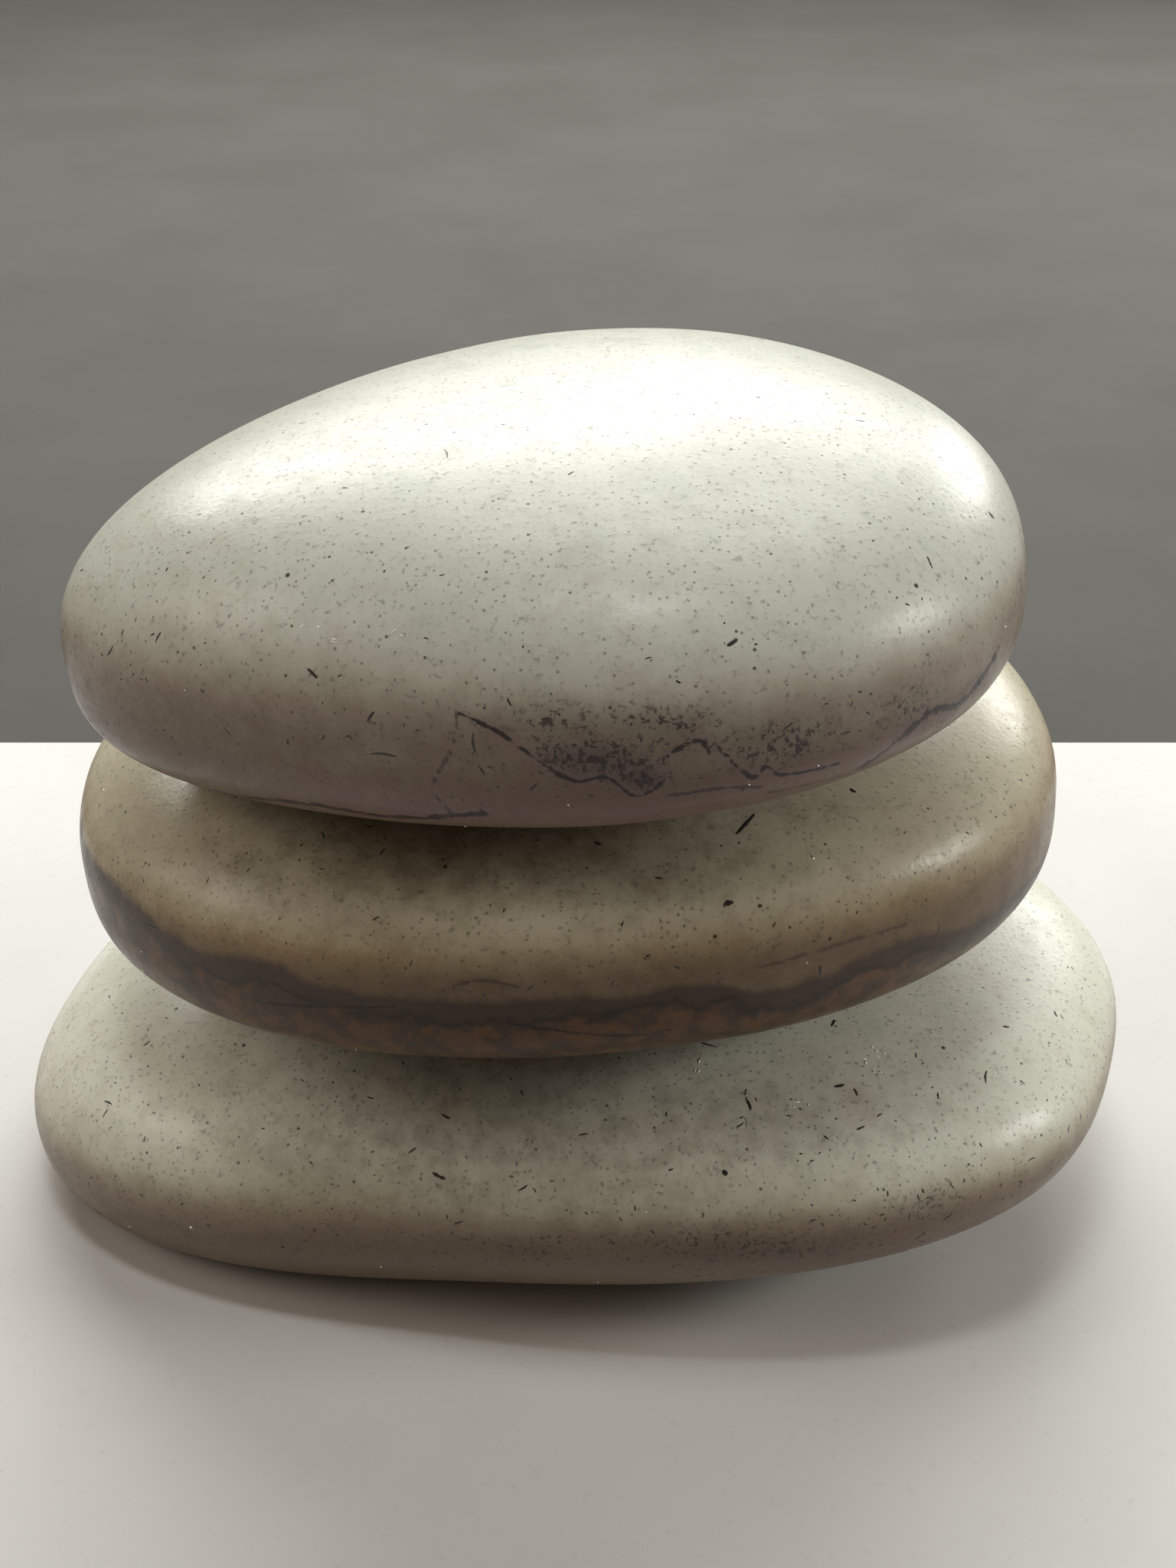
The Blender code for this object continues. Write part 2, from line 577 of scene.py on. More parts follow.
    def relief(self, height: Socket, strength: float, distance: float) -> None:
        """Adds a bump to the shader's normal.

        Args:
            height: The height's socket.
            strength: The bump's strength.
            distance: The height that 1 stands for, in millimetres.
        """
        node = self.tree.nodes.new("ShaderNodeBump")
        node.inputs["Strength"].default_value = strength
        node.inputs["Distance"].default_value = distance * MM
        self.tree.links.new(height, node.inputs["Height"])
        self.tree.links.new(node.outputs[0], self.shader.inputs["Normal"])

    def finish(self, colour: Socket, rough: object) -> bpy.types.Material:
        """Joins colour and roughness to the shader.

        Args:
            colour: The colour's socket.
            rough: The roughness, as a socket or a number.

        Returns:
            The finished material.
        """
        self._feed(self.shader.inputs["Base Color"], colour)
        self._feed(self.shader.inputs["Roughness"], rough)
        return self.material


# --------------------------------------------------------------------------
# Finishes
# --------------------------------------------------------------------------


@dataclass(frozen=True)
class HonedStone:
    """Honed, waxed stone: fine grained and pale on its crown, with painted shade that makes its flanks
    warmer and darker.

    The warm and flank colours are painted shade, laid where the skin turns
    down from the light. dusk is how bright the warm tone is in the painted
    soft shade, and gloss is the strength of the sheen.
    """

    name: str
    pale: Colour
    warm_shade_tone: Colour
    painted_flank_shade: Colour
    green: Colour = (0.62, 0.72, 0.55)
    rose: Colour = (0.74, 0.62, 0.56)
    stain: Colour = (0.045, 0.036, 0.034)
    line: Colour = (0.016, 0.008, 0.011)
    mauve: Colour = (0.15, 0.085, 0.095)
    belt: Colour = (0.055, 0.031, 0.020)
    rust: Colour = (0.10, 0.046, 0.019)
    chalk: Colour = (0.75, 0.75, 0.68)
    dusk: float = 0.36
    belt_strength: float = 0.0
    seam_strength: float = 0.8
    gloss: float = 0.42
    rough: float = 0.33

    def material(self) -> bpy.types.Material:
        """Builds the stone's material.

        Returns:
            A material that reads the skin's own marks.
        """
        bench = NodeBench(self.name)
        broad = bench.cloud(22.0, 3.0, 0.55)
        mottle = bench.cloud(2.6, 4.0, 0.62, 0.3)
        tint = bench.cloud(5.0, 3.0, 0.6, 0.9)
        fine = bench.cloud(0.6, 3.0, 0.65, 0.7)
        colour = self._ground(bench, broad, mottle, tint)
        colour = self._belt(bench, colour, mottle, tint)
        colour, pits = self._grain(bench, colour, fine)
        colour, drawn = self._marks(bench, colour, mottle)

        rough = bench.span(mottle, 0.25, 0.75, self.rough - 0.04, self.rough + 0.06)
        rough = bench.sum("ADD", rough, bench.span(fine, 0.5, 0.8, 0.0, 0.10))
        height = bench.sum("ADD", bench.span(fine, 0.2, 0.8), bench.sum("MULTIPLY", pits, -0.8))
        height = bench.sum("ADD", height, bench.sum("MULTIPLY", drawn, -0.8))
        bench.relief(height, 0.35, 0.04)
        bench.shader.inputs["Specular IOR Level"].default_value = self.gloss
        return bench.finish(colour, rough)

    def _ground(self, bench: NodeBench, broad: Socket, mottle: Socket, tint: Socket) -> Socket:
        """Lays the pale crown and the painted shade: warm shoulder, dark flank and soft patches.

        Args:
            bench: The material's bench.
            broad: Clouds as wide as a stone's shoulder.
            mottle: Small clouds.
            tint: Clouds that carry the green and rose tints.

        Returns:
            The colour's socket.
        """
        # Painted shade: the skin turns warmer and darker as its normal turns down from the light, with
        # clouds that vary the tone at random.
        painted_warm_shade = bench.sum("ADD", bench.mark("painted_warm_shade"), bench.span(broad, 0.3, 0.7, -0.13, 0.13))
        painted_warm_shade = bench.sum("ADD", painted_warm_shade, bench.span(mottle, 0.3, 0.7, -0.05, 0.05), True)
        colour = bench.blend(painted_warm_shade, self.pale, self.warm_shade_tone)
        colour = bench.blend(bench.span(tint, 0.52, 0.72, 0.0, 0.22), colour, self.green, "MULTIPLY")
        colour = bench.blend(bench.span(tint, 0.48, 0.28, 0.0, 0.22), colour, self.rose, "MULTIPLY")
        # Painted shade: the flanks below the widest line turn dark.
        painted_flank_shade = bench.sum("ADD", bench.mark("painted_flank_shade"), bench.span(mottle, 0.3, 0.7, -0.06, 0.06), True)
        colour = bench.blend(painted_flank_shade, colour, self.painted_flank_shade)
        # Painted shade: soft dark patches where a stone above hangs over this one.
        shade = bench.sum("ADD", bench.mark("shade"), bench.span(mottle, 0.3, 0.7, -0.07, 0.07))
        shade = bench.span(shade, 0.05, 0.95)
        painted_shade_tone = tuple(self.dusk * tone for tone in self.warm_shade_tone)
        return bench.blend(shade, colour, painted_shade_tone)

    def _belt(self, bench: NodeBench, colour: Socket, mottle: Socket, tint: Socket) -> Socket:
        """Lays the brown belt, with its rusty foot and a dark seam between the two.

        Args:
            bench: The material's bench.
            colour: The colour so far.
            mottle: Small clouds.
            tint: Clouds that make the foot wander.

        Returns:
            The colour's socket.
        """
        depth = bench.sum("ADD", bench.mark("belt"), bench.span(mottle, 0.2, 0.8, -0.35, 0.35))
        inside = bench.span(depth, -0.50, 0.80)
        deep = bench.sum("ADD", depth, bench.span(tint, 0.3, 0.7, -0.9, 0.9))
        foot = bench.span(deep, 1.9, 3.1)
        rusty = bench.blend(bench.span(mottle, 0.40, 0.60), self.rust, self.belt)
        tone = bench.blend(foot, self.belt, rusty)
        seam = bench.sum("ABSOLUTE", bench.sum("SUBTRACT", deep, 2.4))
        tone = bench.blend(bench.span(seam, 0.70, 0.08, 0.0, self.seam_strength), tone, self.line)
        return bench.blend(bench.sum("MULTIPLY", inside, self.belt_strength), colour, tone)

    def _grain(self, bench: NodeBench, colour: Socket, fine: Socket) -> tuple[Socket, Socket]:
        """Scatters the grain: soft dark dots, pale chalk, fine pepper and a few strong specks.

        Args:
            bench: The material's bench.
            colour: The colour so far.
            fine: Very small clouds.

        Returns:
            The colour's socket, and one that is 1 in a wide speck or a pit.
        """
        colour = bench.blend(bench.span(fine, 0.55, 0.74, 0.0, 0.50), colour, self.stain)
        crown = bench.span(bench.mark("painted_flank_shade"), 0.6, 0.0, 0.0, 0.14)
        chalky = bench.sum("MULTIPLY", bench.span(fine, 0.42, 0.26), crown)
        colour = bench.blend(chalky, colour, self.chalk)
        close = bench.pepper(0.75, 0.24, 0.42)
        colour = bench.blend(bench.sum("MULTIPLY", close, 0.52), colour, self.stain)
        wide = bench.pepper(1.7, 0.115, 0.45)
        colour = bench.blend(bench.sum("MULTIPLY", wide, 0.85), colour, self.stain)
        pits = bench.pepper(5.2, 0.055, 0.6)
        colour = bench.blend(bench.sum("MULTIPLY", pits, 0.92), colour, self.line)
        return colour, bench.sum("MAXIMUM", wide, pits)

    def _marks(self, bench: NodeBench, colour: Socket, mottle: Socket) -> tuple[Socket, Socket]:
        """Lays the mauve tide mark, the sooty speckle and the drying lines.

        Args:
            bench: The material's bench.
            colour: The colour so far.
            mottle: Small clouds.

        Returns:
            The colour's socket, and one that says how strongly a drying line
            is drawn.
        """
        mauve = bench.sum("MULTIPLY", bench.mark("mauve"), bench.span(mottle, 0.3, 0.7, 0.35, 0.85))
        colour = bench.blend(mauve, colour, self.mauve)
        soot = bench.mark("soot")
        colour = bench.blend(bench.span(soot, 0.05, 1.0, 0.0, 0.58), colour, self.stain)
        grit = bench.cloud(0.62, 3.0, 0.75, 1.6)
        speck = bench.span(bench.sum("ADD", grit, bench.sum("MULTIPLY", soot, 0.13)), 0.58, 0.66)
        speck = bench.sum("MULTIPLY", speck, bench.span(soot, 0.05, 0.5))
        colour = bench.blend(bench.sum("MULTIPLY", speck, 0.85), colour, self.line)
        wander = bench.span(bench.cloud(0.9, 3.0, 0.6, 0.5), 0.2, 0.8, -0.13, 0.13)
        offset = bench.sum("ADD", bench.mark("line_offset"), wander)
        width = bench.span(mottle, 0.3, 0.7, 0.09, 0.21)
        drawn = bench.span(bench.sum("SUBTRACT", offset, width), 0.07, -0.04)
        drawn = bench.sum("MULTIPLY", drawn, bench.mark("line_strength"))
        halo = bench.span(bench.mark("line_offset"), 0.9, 0.1, 0.0, 0.30)
        halo = bench.sum("MULTIPLY", halo, bench.mark("line_strength"))
        colour = bench.blend(halo, colour, self.mauve)
        return bench.blend(bench.sum("MULTIPLY", drawn, 0.95), colour, self.line), drawn


@dataclass(frozen=True)
class MineralFinish:
    """The finish of small mineral splinters or glints set in the skin."""

    name: str
    colour: Colour
    other: Colour
    rough: float
    metal: float = 0.0

    def material(self) -> bpy.types.Material:
        """Builds the mineral's material.

        Returns:
            A material whose colour and gloss vary from grain to grain.
        """
        bench = NodeBench(self.name)
        between = bench.cloud(2.0, 2.0, 0.5)
        fine = bench.cloud(0.15, 2.0, 0.6)
        colour = bench.blend(bench.span(between, 0.3, 0.7), self.colour, self.other)
        rough = bench.span(fine, 0.3, 0.7, self.rough, self.rough + 0.2)
        bench.relief(fine, 0.3, 0.02)
        bench.shader.inputs["Metallic"].default_value = self.metal
        return bench.finish(colour, rough)


@dataclass(frozen=True)
class SheetFinish:
    """The finish of a floor or a backdrop: two close tones in clouds, and dust if it has any.

    cloud is the width of one cloud in millimetres.
    """

    name: str
    dark: Colour
    light: Colour
    cloud: float
    rough: float
    dust: Colour | None = None

    def material(self) -> bpy.types.Material:
        """Builds the sheet's material.

        Returns:
            A matt material.
        """
        bench = NodeBench(self.name)
        broad = bench.cloud(self.cloud, 4.0, 0.6)
        colour = bench.blend(bench.span(broad, 0.3, 0.7), self.dark, self.light)
        if self.dust is not None:
            fine = bench.cloud(1.2, 3.0, 0.6, 0.4)
            colour = bench.blend(bench.span(fine, 0.6, 0.8, 0.0, 0.25), colour, self.dust)
            bench.relief(fine, 0.2, 0.05)
        return bench.finish(colour, self.rough)


@dataclass(frozen=True)
class Mineral:
    """One kind of mineral grain set in the stones, as small flattened spindles.

    usual is the middle length of the small grains, shortest is the least,
    ridge is the height of a grain's ridge and sink is how deep its middle
    lies, all in millimetres. longest is the greatest length as a share of
    usual, spread is how much the lengths vary, and bow is the farthest bend
    as a share of half the length. Each ring keeps a share of its width drawn
    between least_ring and 1. A grain is as wide as the root of usual times a
    number drawn from slimness, plus widening times its length.
    """

    word: str
    usual: float
    ridge: float
    finish: MineralFinish
    shortest: float = 0.2
    longest: float = 5.0
    spread: float = 0.55
    slimness: Spot = (0.20, 0.34)
    widening: float = 0.06
    bow: float = 0.22
    least_ring: float = 0.62
    sink: float = 0.008
    rings: int = 7
    sides: int = 6


# --------------------------------------------------------------------------
# Meshes
# --------------------------------------------------------------------------


# Share by which the points of a skin are drawn towards its front.
FRONT_DRAW = -0.42


def ball_directions(around: int, down: int) -> np.ndarray:
    """Spreads unit directions over a ball, from pole to pole.

    In words: the bearing is an even share of a full turn, drawn towards the
    front so that the front's points lie closest, and the polar angle is an
    even share of a half turn. One row of `around` directions makes each
    level, with a single direction at each pole.

    Args:
        around: Directions in each level.
        down: Levels between the poles.

    Returns:
        Unit vectors, shaped (2 + around * down, 3): top pole, levels, low pole.
    """
    bearing = np.arange(around) * (2.0 * np.pi / around)
    bearing = bearing + FRONT_DRAW * np.cos(bearing)
    polar = (np.arange(down) + 1.0) * (np.pi / (down + 1.0))
    polar, bearing = np.meshgrid(polar, bearing, indexing="ij")
    flat = np.sin(polar)
    level = np.stack([flat * np.cos(bearing), flat * np.sin(bearing), np.cos(polar)], -1)
    return np.concatenate([[[0.0, 0.0, 1.0]], level.reshape(-1, 3), [[0.0, 0.0, -1.0]]])


def ball_faces(around: int, down: int) -> tuple[np.ndarray, np.ndarray]:
    """Joins the points of ball_directions into faces that look outwards.

    Args:
        around: Points in each level.
        down: Levels between the poles.

    Returns:
        The quads, shaped (n, 4), and the pole triangles, shaped (m, 3).
    """
    here = np.arange(around)
    after = (here + 1) % around
    rows = 1 + around * np.arange(down - 1)[:, None]
    quads = np.stack([rows + here, rows + around + here, rows + around + after, rows + after], -1)
    low = 1 + around * (down - 1)
    end = 1 + around * down
    top = np.stack([np.zeros_like(here), 1 + here, 1 + after], -1)
    foot = np.stack([np.full_like(here, end), low + after, low + here], -1)
    return quads.reshape(-1, 4), np.concatenate([top, foot])


def mesh_piece(name: str, points: np.ndarray, quads: np.ndarray, tris: np.ndarray) -> bpy.types.Object:
    """Makes a smooth-shaded piece from arrays.

    Args:
        name: The piece's name.
        points: Points in millimetres, shaped (n, 3).
        quads: Faces of four points.
        tris: Faces of three points.

    Returns:
        The new object, at the origin.
    """
    corners = np.concatenate([quads.ravel(), tris.ravel()]).astype(np.int32)
    counts = np.concatenate([np.full(len(quads), 4), np.full(len(tris), 3)]).astype(np.int32)
    starts = np.concatenate([[0], np.cumsum(counts)[:-1]]).astype(np.int32)
    mesh = bpy.data.meshes.new(name)
    mesh.vertices.add(len(points))
    mesh.vertices.foreach_set("co", (points * MM).astype(np.float32).ravel())
    mesh.loops.add(len(corners))
    mesh.loops.foreach_set("vertex_index", corners)
    mesh.polygons.add(len(counts))
    mesh.polygons.foreach_set("loop_start", starts)
    mesh.polygons.foreach_set("use_smooth", np.ones(len(counts), dtype=bool))
    mesh.update(calc_edges=True)
    mesh.validate()
    piece = bpy.data.objects.new(name, mesh)
    bpy.context.scene.collection.objects.link(piece)
    return piece


def spindle_points(rings: np.ndarray, sides: int) -> tuple[np.ndarray, np.ndarray, np.ndarray]:
    """Shapes spindles of half length 1 and half width 1, from tip to tip.

    In words: the half width is the square root of one minus the square of the
    place along the spindle, times the share that each ring keeps.

    Args:
        rings: The share of its width that each ring keeps, shaped (spindles, rings).
        sides: Points in each ring.

    Returns:
        How far each point lies along, across and over its spindle, each
        shaped (spindles, 2 + rings * sides).
    """
    count = len(rings)
    place = np.linspace(1.0, -1.0, rings.shape[1] + 2)[1:-1]
    round_ring = np.arange(sides) * (2.0 * np.pi / sides)
    body = np.sqrt(1.0 - place**2) * rings
    along = np.broadcast_to(place[None, :, None], (*rings.shape, sides)).reshape(count, -1)
    across = (body[..., None] * np.cos(round_ring)).reshape(count, -1)
    over = (body[..., None] * np.sin(round_ring)).reshape(count, -1)
    tip, level = np.ones((count, 1)), np.zeros((count, 1))
    along = np.concatenate([tip, along, -tip], axis=1)
    across = np.concatenate([level, across, level], axis=1)
    over = np.concatenate([level, over, level], axis=1)
    return along, across, over


def unit(vectors: np.ndarray) -> np.ndarray:
    """Scales vectors to length one.

    Args:
        vectors: Vectors along the last axis.

    Returns:
        The scaled vectors.
    """
    return vectors / np.linalg.norm(vectors, axis=-1, keepdims=True)


def write_mark(piece: bpy.types.Object, name: str, values: np.ndarray) -> None:
    """Stores one number for each point of a piece.

    Args:
        piece: The piece.
        name: The mark's name, as the material reads it.
        values: One number for each point.
    """
    layer = piece.data.attributes.new(name, "FLOAT", "POINT")
    layer.data.foreach_set("value", values.astype(np.float32))


# --------------------------------------------------------------------------
# Stones
# --------------------------------------------------------------------------

# The step on the unit ball over which a skin's slopes are measured.
SLOPE_STEP = 1e-3
# How upright a direction may be before its side ways are measured from +X.
NEAR_POLE = 0.9
# The ball from which a search over the front starts: directions in a level, and levels.
COARSE_BALL = (120, 60)
# How often a search is refined, and how far one refinement may move on the unit ball.
SEARCH_STEPS = 6
SEARCH_REACH = 0.1
# Slopes below this share of the steepest are left out of a search.
LEAST_SLOPE = 0.05


@dataclass
class Stone:
    """One loose stone: its skin, and the minerals that are set in it.

    rests says that the stone's foot is its true lowest point, as on a stone
    without a flat underneath. The warm and flank spans are the upward parts
    of the skin's normal at which the painted warm shade and the painted dark
    shade on the flanks begin and are complete. shade holds soft patches of
    painted shade. strays and sparks are the numbers of splinters and
    glints that are scattered over the whole stone.
    """

    body: Body
    form: PebbleForm
    finish: HonedStone
    rests: bool = False
    flats: tuple[WornFlat, ...] = ()
    ripple: Ripple = Ripple()
    # Painted shade: spans of the skin's upward normal over which it turns warm, then dark.
    warm_shade_from: Spot = (0.75, -0.10)
    flank_shade_from: Spot = (0.45, -0.18)
    belt: Belt | None = None
    lines: tuple[WaterLine, ...] = ()
    soot: tuple[Bloom, ...] = ()
    mauve: tuple[Bloom, ...] = ()
    # Soft patches of painted shade, where a stone above hangs over this one.
    shade: tuple[Bloom, ...] = ()
    splinters: tuple[Fleck, ...] = ()
    swarms: tuple[Swarm, ...] = ()
    mica: tuple[Swarm, ...] = ()
    strays: int = 160
    sparks: int = 40
    seed: int = 1
    around: int = 400
    down: int = 240
    box: StoneBox = field(init=False)
    centre: np.ndarray = field(init=False)
    reaches: tuple[float, ...] = field(init=False)

    def __post_init__(self) -> None:
        """Sets the stone down in its node's box.

        In words: the unworn form's middle along X and Y goes to the box's
        middle. Its highest point goes to the box's top, or its lowest point
        to the box's foot where the stone rests on it.
        """
        self.box = StoneBox.of(self.node)
        low, high = np.array(self.box.low), np.array(self.box.high)
        form = self.form.skin(ball_directions(self.around, self.down))
        self.centre = 0.5 * (low + high) - 0.5 * (form.min(axis=0) + form.max(axis=0))
        self.centre[2] = low[2] - form[:, 2].min() if self.rests else high[2] - form[:, 2].max()
        self.reaches = tuple(float((form @ np.array(flat.facing)).max()) for flat in self.flats)

    @property
    def node(self) -> str:
        """Gives the name of the stone's node."""
        return f"{self.body.value}_stone"

    def surface(self, directions: np.ndarray) -> np.ndarray:
        """Gives the stone's skin in place, in millimetres.

        In words: the form, lifted along its own radius by the ripple, worn
        to its flats, and moved to the stone's centre.

        Args:
            directions: Unit vectors from the stone's centre, shaped (..., 3).

        Returns:
            Points in the frame, shaped like the directions.
        """
        points = self.form.skin(directions)
        points = points + unit(points) * self.ripple.lift(points)[..., None]
        for flat, reach in zip(self.flats, self.reaches):
            points = flat.wear(points, reach)
        return points + self.centre

    def steps(self, directions: np.ndarray) -> tuple[np.ndarray, np.ndarray, np.ndarray, np.ndarray]:
        """Gives two side ways of each direction, and how the skin moves along them.

        Args:
            directions: Unit vectors, shaped (..., 3).

        Returns:
            The east and north ways, and the skin's slopes along both.
        """
        low = np.abs(directions[..., 2:3]) < NEAR_POLE
        helper = np.where(low, [0.0, 0.0, 1.0], [1.0, 0.0, 0.0])
        east = unit(np.cross(helper, directions))
        north = np.cross(directions, east)
        slopes = []
        for way in (east, north):
            ahead = self.surface(unit(directions + SLOPE_STEP * way))
            behind = self.surface(unit(directions - SLOPE_STEP * way))
            slopes.append((ahead - behind) / (2.0 * SLOPE_STEP))
        return east, north, slopes[0], slopes[1]

    def normals(self, directions: np.ndarray) -> np.ndarray:
        """Gives the skin's outward unit normals.

        Args:
            directions: Unit vectors, shaped (..., 3).

        Returns:
            Unit normals, shaped like the directions.
        """
        _, _, along_east, along_north = self.steps(directions)
        return unit(np.cross(along_east, along_north))

    def locate(self, spots: np.ndarray) -> np.ndarray:
        """Finds the directions of places on the stone's front.

        In words: the nearest point of a coarse ball's front is taken first,
        and a few Gauss-Newton steps over the skin bring it to the place.

        Args:
            spots: Rows of (x, z) in millimetres.

        Returns:
            Unit directions, one row for each place.
        """
        coarse = ball_directions(*COARSE_BALL)
        skin = self.surface(coarse)
        front = skin[:, 1] < self.centre[1]
        coarse, skin = coarse[front], skin[front]
        apart = np.linalg.norm(skin[None][..., [0, 2]] - spots[:, None], axis=-1)
        found = coarse[apart.argmin(axis=1)]
        for _ in range(SEARCH_STEPS):
            east, north, along_east, along_north = self.steps(found)
            slopes = np.stack([along_east, along_north], axis=-1)[:, [0, 2]]
            gap = spots - self.surface(found)[:, [0, 2]]
            move = np.einsum("nij,nj->ni", np.linalg.pinv(slopes, rcond=LEAST_SLOPE), gap)
            move = move.clip(-SEARCH_REACH, SEARCH_REACH)
            found = unit(found + move[:, :1] * east + move[:, 1:] * north)
        return found

    def on_front(self, shares: np.ndarray) -> np.ndarray:
        """Gives points of the front at shares of the stone's box.

        Args:
            shares: Rows of (across, up).

        Returns:
            Points of the skin in millimetres.
        """
        return self.surface(self.locate(self.box.spots(shares)))

    def build_skin(self) -> bpy.types.Object:
        """Makes the stone's skin with its marks and its material.

        Returns:
            The skin, riding on its body in place of the frame's stone.
        """
        directions = ball_directions(self.around, self.down)
        points = self.surface(directions)
        quads, tris = ball_faces(self.around, self.down)
        skin = mesh_piece(f"{self.node}_skin", points, quads, tris)
        self.mark_ground(skin, points, self.normals(directions))
        self.mark_lines(skin, points)
        skin.data.materials.append(self.finish.material())
        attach(skin, self.body.value)
        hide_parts(self.node)
        return skin

    def mark_ground(self, skin: bpy.types.Object, points: np.ndarray, normals: np.ndarray) -> None:
        """Stores each point's painted warm and dark shade, its stains, its painted soft shade and its
        depth in the belt.

        Args:
            skin: The stone's skin.
            points: Its points in millimetres.
            normals: Its outward normals.
        """
        # Painted shade: warmer and darker as the normal turns down from the light.
        for name, (start, end) in (("painted_warm_shade", self.warm_shade_from), ("painted_flank_shade", self.flank_shade_from)):
            share = np.clip((normals[:, 2] - start) / (end - start), 0.0, 1.0)
            write_mark(skin, name, share * share * (3.0 - 2.0 * share))
        # soot and mauve are stains; shade is painted shade.
        for name, blooms in (("soot", self.soot), ("mauve", self.mauve), ("shade", self.shade)):
            amount = np.zeros(len(points))
            for bloom in blooms:
                middle = self.on_front(np.array([[bloom.across, bloom.up]]))
                amount = np.maximum(amount, bloom.amount(points, middle))
            write_mark(skin, name, amount)
        depth = np.full(len(points), -FAR_AWAY)
        if self.belt is not None:
            depth = self.belt.depth(points, self.centre, self.box)
        write_mark(skin, "belt", depth)

    def mark_lines(self, skin: bpy.types.Object, points: np.ndarray) -> None:
        """Stores how far each point is from a drying line, and that line's strength.

        In words: each distance is divided by its line's breadth, and the line
        with the smallest result counts.

        Args:
            skin: The stone's skin.
            points: Its points in millimetres.
        """
        offset = np.full(len(points), FAR_AWAY)
        strength = np.zeros(len(points))
        for line in self.lines:
            away = line.offsets(self.on_front(line.curve()), points)
            strength = np.where(away < offset, line.strength, strength)
            offset = np.minimum(offset, away)
        write_mark(skin, "line_offset", offset)
        write_mark(skin, "line_strength", strength)

    def build_splinters(self, mineral: Mineral) -> bpy.types.Object:
        """Sets dark mineral splinters in the skin: large ones, swarms and strays.

        Args:
            mineral: The splinters' mineral.

        Returns:
            One mesh of all the stone's splinters.
        """
        draw = np.random.default_rng(self.seed)
        grains = self._place_grains(mineral, self.swarms, self.strays, self.splinters, draw)
        return self._shape_grains(mineral, *grains, draw)

    def build_glints(self, mineral: Mineral) -> bpy.types.Object:
        """Sets pale mica glints in the skin: swarms and sparks.

        Args:
            mineral: The glints' mineral.

        Returns:
            One mesh of all the stone's glints.
        """
        draw = np.random.default_rng(self.seed + 1)
        grains = self._place_grains(mineral, self.mica, self.sparks, (), draw)
        return self._shape_grains(mineral, *grains, draw)

    def _place_grains(
        self,
        mineral: Mineral,
        swarms: tuple[Swarm, ...],
        strays: int,
        large: tuple[Fleck, ...],
        draw: np.random.Generator,
    ) -> tuple[np.ndarray, np.ndarray, np.ndarray, np.ndarray]:
        """Chooses where the grains lie, which way they point and how big they are.

        In words: strays are spread evenly over all directions, each swarm is
        a bell curve, and small lengths are lognormal. The large grains are
        listed one by one and come first.

        Args:
            mineral: The grains' mineral.
            swarms: The groups in which some of the grains lie.
            strays: How many more are scattered over the whole stone.
            large: The grains that are listed one by one.
            draw: The source of chance.

        Returns:
            Unit directions, headings in degrees, and lengths and widths in
            millimetres.
        """
        aim = unit(draw.normal(size=(strays, 3)))
        for swarm in swarms:
            aim = np.concatenate([self.locate(swarm.scatter(self.box, draw)), aim])
        small = len(aim)
        length = mineral.usual * draw.lognormal(0.0, mineral.spread, small)
        length = length.clip(mineral.shortest, mineral.longest * mineral.usual)
        slim = draw.uniform(*mineral.slimness, small)
        width = slim * mineral.usual**0.5 + mineral.widening * length
        heading = draw.uniform(0.0, 180.0, small)
        if large:
            listed = np.array([(f.across, f.up, f.heading, f.length, f.width) for f in large])
            aim = np.concatenate([self.locate(self.box.spots(listed[:, :2])), aim])
            scattered = [heading, length, width]
            heading, length, width = np.concatenate([listed[:, 2:].T, scattered], axis=1)
        return aim, heading, length, width

    def _shape_grains(
        self,
        mineral: Mineral,
        aim: np.ndarray,
        heading: np.ndarray,
        length: np.ndarray,
        width: np.ndarray,
        draw: np.random.Generator,
    ) -> bpy.types.Object:
        """Makes one mesh of many flattened spindles that follow the skin.

        In words: each spindle is laid along its heading, its middle line
        bends by a parabola, and the skin's slopes carry it onto the skin. Its
        ridge stands a little over the skin.

        Args:
            mineral: The grains' mineral.
            aim: Unit directions of the grains.
            heading: Headings in degrees.
            length: Lengths in millimetres.
            width: Widths in millimetres.
            draw: The source of chance.

        Returns:
            The mesh, riding on the stone's body.
        """
        count = len(aim)
        bend = draw.uniform(-mineral.bow, mineral.bow, count)
        rings = draw.uniform(mineral.least_ring, 1.0, (count, mineral.rings))
        along, across, over = spindle_points(rings, mineral.sides)

        east, north, along_east, along_north = self.steps(aim)
        slopes = np.linalg.pinv(np.stack([along_east, along_north], axis=-1))
        normal = unit(np.cross(along_east, along_north))
        first = unit(np.array([1.0, 0.0, 0.0]) - normal[:, :1] * normal)
        turn = np.radians(heading)[:, None]
        ahead = np.cos(turn) * first + np.sin(turn) * np.cross(normal, first)
        aside = np.cross(normal, ahead)

        half = 0.5 * length[:, None]
        forward = (along * half)[..., None] * ahead[:, None]
        sideways = across * 0.5 * width[:, None] + bend[:, None] * half * (1.0 - along * along)
        gap = forward + sideways[..., None] * aside[:, None]
        move = np.einsum("nij,npj->npi", slopes, gap)
        way = unit(aim[:, None] + move[..., :1] * east[:, None] + move[..., 1:] * north[:, None])
        rise = (mineral.ridge * over - mineral.sink)[..., None]
        points = self.surface(way) + rise * normal[:, None]
        quads, tris = ball_faces(mineral.sides, mineral.rings)
        shift = points.shape[1] * np.arange(count)[:, None, None]
        piece = mesh_piece(
            f"{self.node}_{mineral.word}",
            points.reshape(-1, 3),
            (quads[None] + shift).reshape(-1, 4),
            (tris[None] + shift).reshape(-1, 3),
        )
        piece.data.materials.append(mineral.finish.material())
        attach(piece, self.body.value)
        return piece


